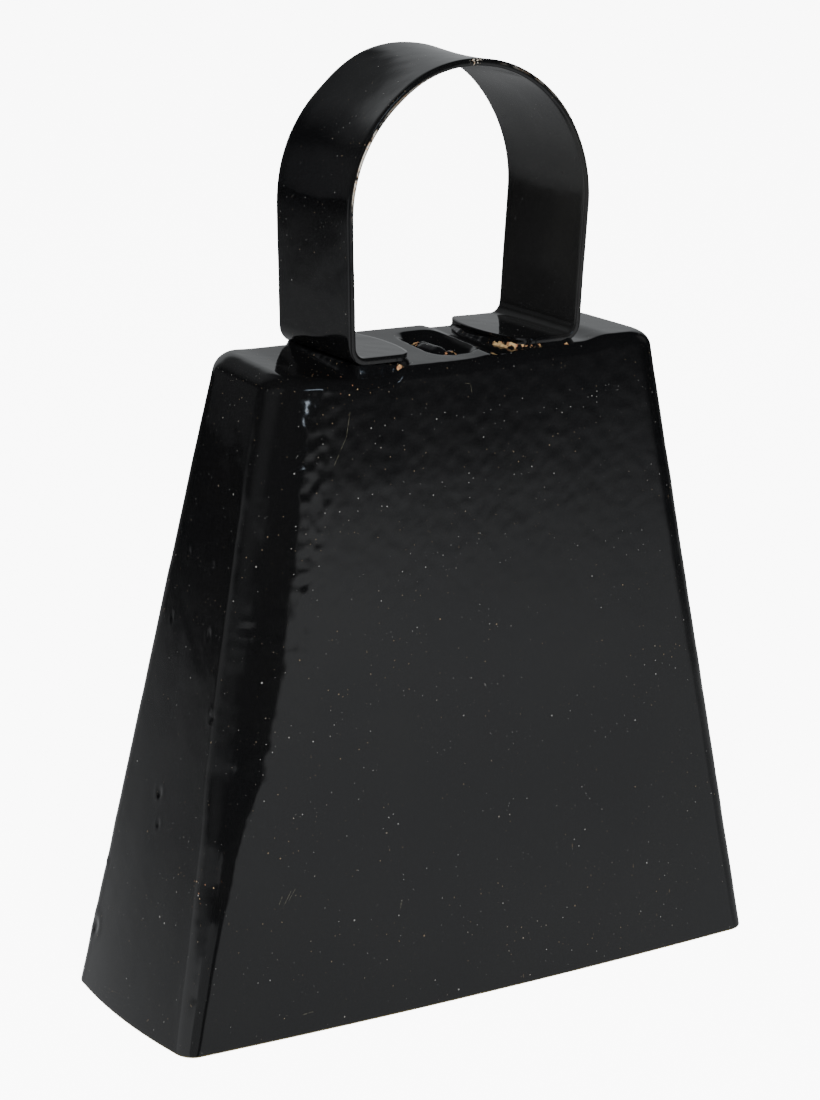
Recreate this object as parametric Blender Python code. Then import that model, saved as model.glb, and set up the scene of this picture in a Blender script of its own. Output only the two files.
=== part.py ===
"""Small black steel cowbell with a strap handle and a free-swinging clapper.

Frame: metres, +Z up. The bell stands on its mouth. The origin is the centre of the mouth, X runs along
the wide faces, -Y is the front. Lengths named below are in millimetres and pass through MM.
"""
import math

import bmesh
import bpy
from mathutils import Vector

MM = 0.001
GAP = 0.3                       # clearance left between neighbouring pieces

# Bell body: one folded sheet, flat top, four walls that flare down to the mouth.
BODY_HEIGHT = 98.0
MOUTH_HALF_WIDTH = 51.8
MOUTH_HALF_DEPTH = 17.7
TOP_HALF_WIDTH = 33.65          # the walls' outer faces, carried up to the top's height
TOP_HALF_DEPTH = 10.7
MOUTH_CORNER_RADIUS = 3.5
TOP_CORNER_RADIUS = 5.0
NARROW_FOLD_RADIUS = 3.1        # between the top and the narrow walls
WIDE_FOLD_RADIUS = 1.5          # between the top and the wide walls
FOLD_STEPS = 6
WIDE_FACE_BULGE = 1.2           # at the mouth, fading upwards
NARROW_FACE_BULGE = 1.0
SHEET = 1.0
# The top isn't quite level: (x, height above BODY_HEIGHT). It is pressed down under the two feet.
TOP_LINE = ((-34.0, -0.6), (-26.0, -1.0), (-7.3, -1.0), (-5.7, 0.0), (3.0, 0.0), (5.2, -0.5),
            (20.0, -0.5), (25.0, 0.25), (34.0, 0.25))
TOP_LINE_REACH = 18.0           # how far down the walls the unevenness fades out
TOP_LEAN = 0.075                # slope of the top's left part, down towards the front
TOP_LEAN_START_X = 14.0         # where the slope begins, going left
TOP_LEAN_EASE = 16.0
TOP_LEAN_BACK_Y = 9.5

# Pocket pressed down into the top for the clapper's hanger.
POCKET_CENTRE = (-1.6, -1.0)
POCKET_HALF_WIDTH = 3.85
POCKET_HALF_LENGTH = 7.3
POCKET_DEPTH = 3.6
POCKET_WALL_SLOPE = 0.9         # how far the pocket's walls come in from lip to floor

# Strap handle, bent from flat bar, its two feet turned inwards on the top.
STRAP_WIDTH = 20.1
STRAP_THICKNESS = 1.15
STRAP_EDGE_BREAK = 0.2
STRAP_CROSS_CROWN = 0.4         # the arch's middle lies this much deeper than its edges
ARCH_OUTER_RADIUS = 21.08
ARCH_CENTRE_Z = 118.8
CROWN_LIFT = (0.35, 0.85)       # how far the hand-bent arch rises over a true circle, front and rear edge
CROWN_LIFT_START = (0.72, 0.3)  # sine of the angle where the rise begins, on the left and on the right
LEG_LEAN = 0.0442               # radians from upright, towards each other going down
FOOT_BEND_INNER_RADIUS = 1.7
FOOT_END_X = 7.8                # from the handle's middle to each foot's end
FOOT_END_SAGITTA = 2.4
HANDLE_OFFSET = (-0.85, 0.63)

# Clapper's hanger, link, rod and bob.
HANGER_CENTRE = (-1.5, -0.9)
HANGER_WIRE = 2.6
HANGER_HALF_SPACING = 3.4
HANGER_CROWN_Z = 96.0
HANGER_CROWN_RADIUS = 1.9
HANGER_BAR_Z = 86.5
LINK_WIRE = 2.4
LINK_END_RADIUS = 3.6
LINK_STRAIGHT = 3.0
ROD_WIRE = 2.8
EYE_RADIUS = 3.8
EYE_NECK_RADIUS = 2.5
EYE_END_ANGLE = 50.0            # degrees left open before the eye's end meets the neck
RUNNING_GAP = 0.4               # between the links of the clapper's chain
BOB_RADIUS = 8.0
BOB_CENTRE_Z = 24.0
BOB_COLLAR_RADIUS = 3.4
BOB_COLLAR_HEIGHT = 10.6        # above the bob's centre
ROD_SOCKET_DEPTH = 9.0

# Brazing filler.
FOOT_BEAD_RADIUS = 0.5
HANGER_BEAD_HALF_SIZE = (2.15, 1.95)
HANGER_BEAD_SHIFT = 0.2         # outwards from the hanger's leg
HANGER_BEAD_HEIGHT = 1.7
SEAM_BEAD_WIDTH = 2.4
SEAM_BEAD_THICKNESS = 0.6
SEAM_BEAD_RANGE_Z = (5.0, 84.0)
SEAM_PLACE = 0.28               # behind the middle, as a share of the wall's half depth

CORNER_STEPS = 6
LONG_SIDE_STEPS = 16
SHORT_SIDE_STEPS = 4
WIRE_SIDES = 12


def clear_scene():
    for obj in list(bpy.data.objects):
        bpy.data.objects.remove(obj, do_unlink=True)


def make_material(name, colour, roughness, metallic, coat=0.0):
    material = bpy.data.materials.new(name)
    material.use_nodes = True
    shader = material.node_tree.nodes["Principled BSDF"]
    shader.inputs["Base Color"].default_value = (*colour, 1.0)
    shader.inputs["Roughness"].default_value = roughness
    shader.inputs["Metallic"].default_value = metallic
    shader.inputs["Coat Weight"].default_value = coat
    return material


def black_paint():
    return make_material("black_paint", (0.010, 0.010, 0.011), 0.16, 0.0, 0.6)


def copper_braze():
    return make_material("copper_braze", (0.60, 0.30, 0.16), 0.42, 1.0)


def plain_steel():
    return make_material("plain_steel", (0.36, 0.35, 0.34), 0.38, 1.0)


def add_object(name, mesh, material=None, smooth_angle=40.0):
    obj = bpy.data.objects.new(name, mesh)
    bpy.context.collection.objects.link(obj)
    if material is not None:
        mesh.materials.append(material)
    mesh.shade_smooth()
    mesh.set_sharp_from_angle(angle=math.radians(smooth_angle))
    return obj


def ladder_cap(bm, row):
    """Close a ring that is symmetrical about the X axis with rungs from its back to its front."""
    count = len(row)
    mirror = count - SHORT_SIDE_STEPS
    left = count // 2 - SHORT_SIDE_STEPS
    right_end = [row[i % count] for i in range(-SHORT_SIDE_STEPS - 1, 2)]
    left_end = [row[i] for i in range(left - 1, left + SHORT_SIDE_STEPS + 2)]
    bm.faces.new(right_end)
    bm.faces.new(left_end)
    for i in range(1, left - 1):
        bm.faces.new((row[i], row[i + 1], row[mirror - i - 1], row[mirror - i]))


def loft_mesh(name, rings, closed=False, ladder=False):
    """Skin equal rings of points (mm). Open lofts get end caps, closed ones join last to first."""
    bm = bmesh.new()
    rows = [[bm.verts.new(Vector(point) * MM) for point in ring] for ring in rings]
    count = len(rows[0])
    pairs = list(zip(rows, rows[1:]))
    if closed:
        pairs.append((rows[-1], rows[0]))
    for low, high in pairs:
        for i in range(count):
            j = (i + 1) % count
            bm.faces.new((low[i], low[j], high[j], high[i]))
    if not closed:
        bm.faces.new(rows[0])
        if ladder:
            ladder_cap(bm, rows[-1])
        else:
            bm.faces.new(rows[-1])
    bmesh.ops.recalc_face_normals(bm, faces=bm.faces)
    mesh = bpy.data.meshes.new(name)
    bm.to_mesh(mesh)
    bm.free()
    return mesh


def subtract(obj, cutter):
    cutter.hide_render = True
    cutter.display_type = "WIRE"
    modifier = obj.modifiers.new("cut_" + cutter.name, "BOOLEAN")
    modifier.operation = "DIFFERENCE"
    modifier.object = cutter


# ---------------------------------------------------------------- bell body

def ease(f):
    f = max(0.0, min(1.0, f))
    return f * f * (3.0 - 2.0 * f)


def top_rise(x):
    """Height of the top at x above BODY_HEIGHT, eased between the points of TOP_LINE."""
    for (x0, z0), (x1, z1) in zip(TOP_LINE, TOP_LINE[1:]):
        if x <= x1:
            return z0 + (z1 - z0) * ease((x - x0) / (x1 - x0))
    return TOP_LINE[-1][1]


def top_shape(x, y):
    """Height of the top above BODY_HEIGHT, with the slope of its left part towards the front."""
    lean = TOP_LEAN * ease((TOP_LEAN_START_X - x) / TOP_LEAN_EASE)
    return top_rise(x) - lean * max(0.0, min(2 * TOP_LEAN_BACK_Y, TOP_LEAN_BACK_Y - y))


def settled(rings):
    """The rings with the top's unevenness, which fades out down the walls."""
    share = [max(0.0, min(1.0, (ring[0][2] - BODY_HEIGHT + TOP_LINE_REACH) / TOP_LINE_REACH)) for ring in rings]
    return [[(x, y, z + top_shape(x, y) * f) for x, y, z in ring] for ring, f in zip(rings, share)]


def rounded_outline(half_width, half_depth, radius, z, bulge_x=0.0, bulge_y=0.0, centre=(0.0, 0.0)):
    """Rounded rectangle at height z, its flat sides crowned outwards by the two bulges."""
    flat_x = half_width - radius
    flat_y = half_depth - radius
    corners = ((flat_x, flat_y, 0), (-flat_x, flat_y, 1), (-flat_x, -flat_y, 2), (flat_x, -flat_y, 3))
    points = []
    for index, (cx, cy, quarter) in enumerate(corners):
        for step in range(CORNER_STEPS + 1):
            angle = math.pi / 2 * (quarter + step / CORNER_STEPS)
            points.append((cx + radius * math.cos(angle), cy + radius * math.sin(angle)))
        next_cx, next_cy, _ = corners[(index + 1) % 4]
        along_x = quarter % 2 == 0
        steps = LONG_SIDE_STEPS if along_x else SHORT_SIDE_STEPS
        side = 1 if quarter in (0, 3) else -1
        for step in range(1, steps):
            f = step / steps
            crown = 4.0 * f * (1.0 - f)
            if along_x:
                y_side = 1 if quarter == 0 else -1
                points.append((cx + (next_cx - cx) * f, y_side * (half_depth + bulge_y * crown)))
            else:
                points.append((side * (half_width + bulge_x * crown), cy + (next_cy - cy) * f))
    return [(centre[0] + x, centre[1] + y, z) for x, y in points]


def wall_section(z, inset_x, inset_y):
    """Outline of the body's walls at height z, the narrow walls moved inwards by inset_x, the wide by inset_y."""
    f = z / BODY_HEIGHT
    fade = max(0.0, 1.0 - f) ** 2
    half_width = MOUTH_HALF_WIDTH + (TOP_HALF_WIDTH - MOUTH_HALF_WIDTH) * f
    half_depth = MOUTH_HALF_DEPTH + (TOP_HALF_DEPTH - MOUTH_HALF_DEPTH) * f
    radius = MOUTH_CORNER_RADIUS + (TOP_CORNER_RADIUS - MOUTH_CORNER_RADIUS) * f
    return rounded_outline(half_width - inset_x, half_depth - inset_y, radius - 0.3 * (inset_x + inset_y), z,
                           NARROW_FACE_BULGE * fade, WIDE_FACE_BULGE * fade)


def fold_inset(radius, below_top):
    """How far a fold of this radius has moved inwards at a height below_top under the top."""
    rise = max(0.0, radius - below_top)
    return radius - math.sqrt(max(0.0, radius * radius - rise * rise))


def body_rings(offset, lowest_z):
    """Rings of the body's skin from the mouth to the top, offset inwards from the outer skin."""
    top = BODY_HEIGHT - offset
    narrow = NARROW_FOLD_RADIUS - offset
    wide = WIDE_FOLD_RADIUS - offset
    rings = [wall_section(lowest_z, offset, offset)] if lowest_z < 0 else []
    rings += [wall_section((top - narrow) * f, offset, offset) for f in (0.0, 0.25, 0.5, 0.75, 1.0)]
    for step in range(1, FOLD_STEPS + 1):
        below_top = narrow * (1.0 - math.sin(math.pi / 2 * step / FOLD_STEPS))
        rings.append(wall_section(top - below_top, offset + fold_inset(narrow, below_top),
                                  offset + fold_inset(wide, below_top)))
    return rings


def pocket_solid(name, growth):
    """The pocket's space, grown on every side, from its floor to above the top."""
    floor_z = BODY_HEIGHT - POCKET_DEPTH - growth
    rings = []
    for z, inset in ((floor_z, POCKET_WALL_SLOPE + 0.4), (floor_z + 0.5, POCKET_WALL_SLOPE),
                     (BODY_HEIGHT + 2.0, -0.3)):
        half_width = POCKET_HALF_WIDTH + growth - inset
        half_length = POCKET_HALF_LENGTH + growth - inset
        rings.append(rounded_outline(half_width, half_length, half_width * 0.8, z, centre=POCKET_CENTRE))
    return add_object(name, loft_mesh(name, rings))


def hanger_hole(name, y):
    bpy.ops.mesh.primitive_cylinder_add(vertices=24, radius=(HANGER_WIRE / 2 + GAP) * MM, depth=12.0 * MM,
                                        location=(HANGER_CENTRE[0] * MM, y * MM, 93.0 * MM))
    cutter = bpy.context.object
    cutter.name = name
    return cutter


def build_body():
    body = add_object("bell_body", loft_mesh("bell_body", settled(body_rings(0.0, 0.0)), ladder=True), black_paint())
    cavity = add_object("cavity_cutter", loft_mesh("cavity_cutter", settled(body_rings(SHEET, -4.0)), ladder=True))
    subtract(cavity, pocket_solid("pocket_wall", SHEET))
    subtract(body, pocket_solid("pocket_cutter", 0.0))
    subtract(body, cavity)
    for name, side in (("rear_hole_cutter", 1), ("front_hole_cutter", -1)):
        subtract(body, hanger_hole(name, HANGER_CENTRE[1] + side * HANGER_HALF_SPACING))
    return body


# ---------------------------------------------------------------- bent pieces

def trace(start, heading, moves):
    """Walk a flat path of lines and arcs. An arc's angle is positive to the left, in degrees."""
    x, z = start
    h = math.radians(heading)
    points = [(x, z, h)]
    for move in moves:
        if move[0] == "line":
            x += move[1] * math.cos(h)
            z += move[1] * math.sin(h)
            points.append((x, z, h))
            continue
        _, radius, angle, steps = move
        sign = 1.0 if angle > 0 else -1.0
        cx = x - sign * radius * math.sin(h)
        cz = z + sign * radius * math.cos(h)
        for step in range(1, steps + 1):
            turned = h + math.radians(angle) * step / steps
            x = cx + sign * radius * math.sin(turned)
            z = cz - sign * radius * math.cos(turned)
            points.append((x, z, turned))
        h = math.radians(angle) + h
    return points


def bend_wire(name, path, diameter, across, material, closed=False):
    """Round wire along a flat path. across is the axis square to the path's plane."""
    radius = diameter / 2
    if closed:
        path = path[:-1]
    rings = []
    for u, z, h in path:
        ring = []
        for side in range(WIRE_SIDES):
            angle = 2 * math.pi * side / WIRE_SIDES
            out = radius * math.cos(angle)
            off = radius * math.sin(angle)
            pu = u - out * math.sin(h)
            pz = z + out * math.cos(h)
            ring.append((HANGER_CENTRE[0] + off, pu, pz) if across == "X" else (pu, HANGER_CENTRE[1] + off, pz))
        rings.append(ring)
    return add_object(name, loft_mesh(name, rings, closed), material)


def foot_underside(side):
    """Height of one foot's underside, just clear of the top where it is pressed down."""
    return BODY_HEIGHT + top_rise(side * 14.0) + GAP


def strap_path():
    """Middle line of the strap in the X-Z plane, from the left foot's end over the arch to the right's."""
    half = STRAP_THICKNESS / 2
    arch_radius = ARCH_OUTER_RADIUS - half
    bend_radius = FOOT_BEND_INNER_RADIUS + half
    lean = LEG_LEAN
    leg_top_z = ARCH_CENTRE_Z - arch_radius * math.sin(lean)
    bend_angle = 90.0 - math.degrees(lean)
    foot_z, legs, feet = [], [], []
    for side in (-1, 1):
        z = foot_underside(side) + half
        leg = (leg_top_z - z - bend_radius * (1.0 - math.sin(lean))) / math.cos(lean)
        bend_x = arch_radius * math.cos(lean) - leg * math.sin(lean) - bend_radius * math.cos(lean)
        foot_z.append(z)
        legs.append(leg)
        feet.append(bend_x - FOOT_END_X)
    moves = [("line", feet[0] * 0.45), ("line", feet[0] * 0.55), ("arc", bend_radius, -bend_angle, 6),
             ("line", legs[0] / 2), ("line", legs[0] / 2),
             ("arc", arch_radius, -180.0 - 2 * math.degrees(lean), 28),
             ("line", legs[1] / 2), ("line", legs[1] / 2), ("arc", bend_radius, -bend_angle, 6),
             ("line", feet[1] * 0.55), ("line", feet[1] * 0.45)]
    return trace((-FOOT_END_X, foot_z[0]), 180.0, moves)


def foot_end_shift(v):
    """How far a foot's end is drawn back at v, from -1 to 1 across the strap."""
    corner = max(0.0, (abs(v) - 0.8) / 0.2)
    return FOOT_END_SAGITTA * v * v + 1.6 * (1.0 - math.sqrt(max(0.0, 1.0 - corner * corner)))


def strap_section():
    """Points (across, outwards) round the strap's section, its edges slightly broken."""
    half_width = STRAP_WIDTH / 2
    half = STRAP_THICKNESS / 2
    broken = half - STRAP_EDGE_BREAK
    inner = half_width - STRAP_EDGE_BREAK
    columns = [inner * k / 5 for k in range(-5, 6)]
    section = [(w, half) for w in columns]
    section += [(half_width, broken), (half_width, -broken)]
    section += [(w, -half) for w in reversed(columns)]
    section += [(-half_width, -broken), (-half_width, broken)]
    return section


def crown_lift(x, z, v):
    """Rise of the arch over a true circle at a point of its path, at v from -1 to 1 across the strap."""
    sine = (z - ARCH_CENTRE_Z) / ARCH_OUTER_RADIUS
    start = CROWN_LIFT_START[0] if x < 0 else CROWN_LIFT_START[1]
    front, rear = CROWN_LIFT
    return (front + (rear - front) * (v + 1.0) / 2) * ease((sine - start) / (0.95 - start))


def build_handle():
    path = strap_path()
    half_width = STRAP_WIDTH / 2
    rings = []
    for index, (x, z, h) in enumerate(path):
        arch = max(0.0, min(1.0, (z - ARCH_CENTRE_Z + 12.0) / 16.0))
        end = 1.0 if index == 0 else -1.0 if index == len(path) - 1 else 0.0
        ring = []
        for across, out in strap_section():
            v = across / half_width
            lift = out + STRAP_CROSS_CROWN * arch * (v * v - 1.0)
            along = end * foot_end_shift(v)
            ring.append((HANDLE_OFFSET[0] + x - lift * math.sin(h) + along * math.cos(h),
                         HANDLE_OFFSET[1] + across,
                         z + lift * math.cos(h) + along * math.sin(h) + crown_lift(x, z, v)))
        rings.append(ring)
    return add_object("handle_strap", loft_mesh("handle_strap", rings), black_paint())


# ---------------------------------------------------------------- clapper and its hanger

def hanger_path():
    """Closed path in the Y-Z plane: crown in the pocket, legs through its floor, round lower bar."""
    half = HANGER_HALF_SPACING
    crown = 2 * (half - HANGER_CROWN_RADIUS)
    side = HANGER_CROWN_Z - HANGER_CROWN_RADIUS - (HANGER_BAR_Z + half)
    moves = [("line", crown), ("arc", HANGER_CROWN_RADIUS, -90.0, 4), ("line", side),
             ("arc", half, -180.0, 14), ("line", side), ("arc", HANGER_CROWN_RADIUS, -90.0, 4)]
    return trace((HANGER_CENTRE[1] - crown / 2, HANGER_CROWN_Z), 0.0, moves)


def build_hanger():
    return bend_wire("clapper_hanger", hanger_path(), HANGER_WIRE, "X", plain_steel(), True)


def link_heights():
    """Heights of the link's upper and lower wire centres."""
    upper = HANGER_BAR_Z + HANGER_WIRE / 2 + LINK_WIRE / 2 + RUNNING_GAP
    return upper, upper - 2 * LINK_END_RADIUS - LINK_STRAIGHT


def build_link():
    upper, lower = link_heights()
    moves = [("arc", LINK_END_RADIUS, -90.0, 7), ("line", LINK_STRAIGHT), ("arc", LINK_END_RADIUS, -180.0, 14),
             ("line", LINK_STRAIGHT), ("arc", LINK_END_RADIUS, -90.0, 7)]
    link = bend_wire("clapper_link", trace((HANGER_CENTRE[0], upper), 0.0, moves), LINK_WIRE, "Y",
                     plain_steel(), True)
    return link


def build_rod():
    """Clapper rod: a straight wire with an eye bent at its upper end, over the link's lower wire."""
    _, link_lower = link_heights()
    eye_top = link_lower + LINK_WIRE / 2 + ROD_WIRE / 2 + RUNNING_GAP
    eye_z = eye_top - EYE_RADIUS
    neck = math.degrees(math.acos(EYE_NECK_RADIUS / (EYE_NECK_RADIUS + EYE_RADIUS)))
    neck_drop = (EYE_NECK_RADIUS + EYE_RADIUS) * math.sin(math.radians(neck))
    bottom = BOB_CENTRE_Z + BOB_COLLAR_HEIGHT - ROD_SOCKET_DEPTH + GAP
    moves = [("line", eye_z - neck_drop - bottom), ("arc", EYE_NECK_RADIUS, -neck, 6),
             ("arc", EYE_RADIUS, 270.0 + neck - EYE_END_ANGLE, 26)]
    return bend_wire("clapper_rod", trace((HANGER_CENTRE[1], bottom), 90.0, moves), ROD_WIRE, "X",
                     plain_steel())


def turned_mesh(name, profile, sides, centre):
    """Solid of revolution about an upright axis. The profile starts and ends on the axis."""
    rings = []
    for radius, z in profile[1:-1]:
        angles = [2 * math.pi * k / sides for k in range(sides)]
        rings.append([(centre[0] + radius * math.cos(a), centre[1] + radius * math.sin(a), z) for a in angles])
    return loft_mesh(name, rings)


def build_bob():
    """Ball-shaped bob with a short collar and a blind socket for the rod."""
    top = BOB_CENTRE_Z + BOB_COLLAR_HEIGHT
    socket = ROD_WIRE / 2 + GAP
    start = math.acos((BOB_COLLAR_RADIUS - 0.4) / BOB_RADIUS)
    profile = [(0.0, top - ROD_SOCKET_DEPTH), (socket, top - ROD_SOCKET_DEPTH), (socket, top),
               (BOB_COLLAR_RADIUS - 0.5, top), (BOB_COLLAR_RADIUS, top - 0.5),
               (BOB_COLLAR_RADIUS, BOB_CENTRE_Z + BOB_RADIUS * math.sin(start) + 0.6)]
    for step in range(15):
        angle = start - (start + math.radians(84.0)) * step / 14
        profile.append((BOB_RADIUS * math.cos(angle), BOB_CENTRE_Z + BOB_RADIUS * math.sin(angle)))
    profile.append((0.0, BOB_CENTRE_Z - BOB_RADIUS))
    return add_object("clapper_bob", turned_mesh("clapper_bob", profile, 28, HANGER_CENTRE), plain_steel())


# ---------------------------------------------------------------- brazing filler

def build_hanger_bead(name, side):
    """Mound of filler on the pocket's floor round one leg of the hanger, clear of the wire."""
    floor_z = BODY_HEIGHT - POCKET_DEPTH + GAP
    y = HANGER_CENTRE[1] + side * (HANGER_HALF_SPACING + HANGER_BEAD_SHIFT)
    half_x, half_y = HANGER_BEAD_HALF_SIZE
    angles = [2 * math.pi * k / 24 for k in range(24)]
    rings = []
    for size, height in ((1.0, 0.0), (0.95, 0.5), (0.75, 0.85), (0.4, 1.0)):
        z = floor_z + HANGER_BEAD_HEIGHT * height
        rings.append([(HANGER_CENTRE[0] + half_x * size * math.cos(a), y + half_y * size * math.sin(a), z)
                      for a in angles])
    bead = add_object(name, loft_mesh(name, rings), copper_braze())
    wire_space = bend_wire(name + "_wire_space", hanger_path(), HANGER_WIRE + 2 * GAP, "X", None, True)
    subtract(bead, wire_space)
    return bead


def build_foot_bead(name, side):
    """Bead of filler along the curved end of one foot, clear of the foot and of the top."""
    centre_z = foot_underside(side) + FOOT_BEAD_RADIUS + 0.25
    reach = FOOT_BEAD_RADIUS + GAP
    rings = []
    steps = 14
    for step in range(steps + 1):
        v = -0.62 + 1.24 * step / steps
        x = HANDLE_OFFSET[0] + side * (FOOT_END_X - reach + foot_end_shift(v))
        y = HANDLE_OFFSET[1] + v * STRAP_WIDTH / 2
        slope = 2 * FOOT_END_SAGITTA * v / (STRAP_WIDTH / 2)
        direction = Vector((side * slope, 1.0)).normalized()
        ring = []
        for k in range(8):
            angle = 2 * math.pi * k / 8
            out = FOOT_BEAD_RADIUS * math.cos(angle)
            ring.append((x + out * direction.y, y - out * direction.x,
                         centre_z + FOOT_BEAD_RADIUS * math.sin(angle)))
        rings.append(ring)
    return add_object(name, loft_mesh(name, rings), copper_braze())


def build_seam_bead(name, side):
    """Flat bead of filler down the inside of one narrow wall, over the blank's seam."""
    rings = []
    half = SEAM_BEAD_WIDTH / 2
    for z in SEAM_BEAD_RANGE_Z:
        f = z / BODY_HEIGHT
        wall = MOUTH_HALF_WIDTH + (TOP_HALF_WIDTH - MOUTH_HALF_WIDTH) * f - SHEET - GAP
        y = SEAM_PLACE * (MOUTH_HALF_DEPTH + (TOP_HALF_DEPTH - MOUTH_HALF_DEPTH) * f)
        near = side * wall
        far = side * (wall - SEAM_BEAD_THICKNESS)
        rings.append([(near, y - half, z), (near, y + half, z), (far, y + half * 0.6, z),
                      (far, y - half * 0.6, z)])
    return add_object(name, loft_mesh(name, rings), copper_braze())


def build_all():
    clear_scene()
    build_body()
    build_handle()
    build_hanger()
    build_link()
    build_rod()
    build_bob()
    for name, side in (("hanger_braze_rear", 1), ("hanger_braze_front", -1)):
        build_hanger_bead(name, side)
    for name, side in (("foot_braze_left", -1), ("foot_braze_right", 1)):
        build_foot_bead(name, side)
    for name, side in (("seam_braze_left", -1), ("seam_braze_right", 1)):
        build_seam_bead(name, side)


build_all()
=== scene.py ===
"""Looks of the black steel cowbell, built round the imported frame. Metres, +Z up, front face to -Y.

The shapes below are worked out in millimetres, in the frame's axes, and scaled by MM when a mesh is made.
"""
import math

import bmesh
import bpy
import numpy as np
from mathutils import Matrix, Vector


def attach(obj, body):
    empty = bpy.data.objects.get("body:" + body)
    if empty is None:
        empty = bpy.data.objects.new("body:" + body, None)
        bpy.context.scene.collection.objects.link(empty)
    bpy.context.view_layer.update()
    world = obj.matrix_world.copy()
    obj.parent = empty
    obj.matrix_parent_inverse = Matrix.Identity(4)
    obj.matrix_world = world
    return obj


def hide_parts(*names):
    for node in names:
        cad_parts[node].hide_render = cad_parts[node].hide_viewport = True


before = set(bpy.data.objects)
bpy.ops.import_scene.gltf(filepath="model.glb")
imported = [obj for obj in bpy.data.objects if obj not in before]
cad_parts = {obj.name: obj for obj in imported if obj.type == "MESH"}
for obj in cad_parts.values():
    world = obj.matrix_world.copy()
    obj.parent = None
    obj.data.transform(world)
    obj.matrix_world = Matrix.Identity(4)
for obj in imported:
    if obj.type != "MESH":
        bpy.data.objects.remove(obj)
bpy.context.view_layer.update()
MM = 0.001

# ---------------------------------------------------------------- sizes
# As in the frame, except for the pocket's place and the rounder front left corner.

BODY_HEIGHT = 98.0
MOUTH_HALF = np.array((51.8, 17.7))
TOP_HALF = np.array((33.65, 10.7))
MOUTH_CORNER_RADIUS = 3.5
TOP_CORNER_RADIUS = 5.0
FOLD_RADII = (3.1, 1.5)                   # over the narrow and over the wide faces
FACE_BULGE = np.array((1.0, 1.2))         # outwards at the mouth, on the narrow and the wide faces
SHEET = 1.0
RIM_ROUNDING = 0.25
# The top's height over the body's, from left to right: (x, height).
TOP_LINE = np.array(((-34.0, -0.6), (-26.0, -1.0), (-5.0, -1.0), (3.0, -1.0), (5.2, -0.5),
                     (20.0, -0.5), (25.0, 0.25), (34.0, 0.25)))
TOP_LINE_REACH = 18.0                     # how far down the walls the unevenness is felt
TOP_LEAN = 0.075                          # the top's left half slopes down towards the front
# The front left corner is rounder than the others: (height, what its radius has over the others').
ROUND_CORNER = np.array(((0.0, -0.9), (14.0, -0.6), (30.0, 0.9), (41.0, 4.2),
                         (54.0, 4.9), (70.0, 4.2), (84.0, 2.8), (98.0, 1.3)))
POCKET_CENTRE = np.array((-0.2, 0.1))
POCKET_HALF = np.array((3.9, 6.4))
POCKET_DEPTH = 3.6

STRAP_WIDTH = 20.1
STRAP_THICKNESS = 1.15
STRAP_CROSS_CROWN = 0.4
STRAP_EDGE_ROUNDING = 0.34
ARCH_OUTER_RADIUS = 21.08
ARCH_CENTRE_Z = 118.8
CROWN_LIFT = (0.35, 0.85)                 # the arch's rise over a true circle, at its front and rear edge
CROWN_LIFT_START = (0.72, 0.3)            # where that rise starts, left and right, as a share of the radius
LEG_LEAN = 0.0442
FOOT_BEND_INNER_RADIUS = 1.7
FOOT_END_X = 7.8
FOOT_BEND_X = 18.6
HANDLE_OFFSET = (-0.85, 0.63)

HANGER_CENTRE = (-1.5, -0.9)
HANGER_WIRE = 2.6
HANGER_HALF_SPACING = 3.4
HANGER_CROWN_Z = 96.0
HANGER_CROWN_RADIUS = 1.9
HANGER_BAR_Z = 86.5
LINK_WIRE = 2.4
LINK_END_RADIUS = 3.6
LINK_STRAIGHT = 3.0
ROD_WIRE = 2.8
EYE_RADIUS = 3.8
EYE_NECK_RADIUS = 2.5
RUNNING_GAP = 0.4
BOB_RADIUS = 8.0
BOB_CENTRE_Z = 24.0
COLLAR_TOP_Z = BOB_CENTRE_Z + 10.6
SOCKET_DEPTH = 9.0
ROD_END_GAP = 0.3


# ---------------------------------------------------------------- camera, floor and light

CAMERA_AZIMUTH = -33.2
CAMERA_ELEVATION = 15.2
CAMERA_ROLL = 1.5
CAMERA_DISTANCE = 0.4576
CAMERA_SHIFT_RIGHT = -0.0028      # the camera's own sideways and upward offset from the aim line
CAMERA_SHIFT_UP = 0.0157
AIM = Vector((0.0, 0.0, 0.049))
LENS = 97.9


def make_camera():
    azimuth, elevation, roll = (math.radians(a) for a in (CAMERA_AZIMUTH, CAMERA_ELEVATION, CAMERA_ROLL))
    back = Vector((math.sin(azimuth) * math.cos(elevation), -math.cos(azimuth) * math.cos(elevation),
                   math.sin(elevation)))
    level = Vector((math.cos(azimuth), math.sin(azimuth), 0.0))
    upright = back.cross(level)
    right = math.cos(roll) * level + math.sin(roll) * upright
    up = -math.sin(roll) * level + math.cos(roll) * upright
    camera = bpy.data.objects.new("camera", bpy.data.cameras.new("camera"))
    camera.data.lens = LENS
    camera.data.sensor_width = 36.0
    camera.data.clip_start = 0.01
    place = AIM + CAMERA_DISTANCE * back + CAMERA_SHIFT_RIGHT * right + CAMERA_SHIFT_UP * up
    camera.matrix_world = Matrix.Translation(place) @ Matrix((right, up, back)).transposed().to_4x4()
    bpy.context.scene.collection.objects.link(camera)
    bpy.context.scene.camera = camera


def soft_box(name, place, target, size, power):
    light = bpy.data.lights.new(name, "AREA")
    light.shape = "RECTANGLE"
    light.size, light.size_y = size
    light.energy = power
    obj = bpy.data.objects.new(name, light)
    obj.location = place
    obj.rotation_euler = (Vector(place) - Vector(target)).to_track_quat("Z", "Y").to_euler()
    bpy.context.scene.collection.objects.link(obj)
    return obj


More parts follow.
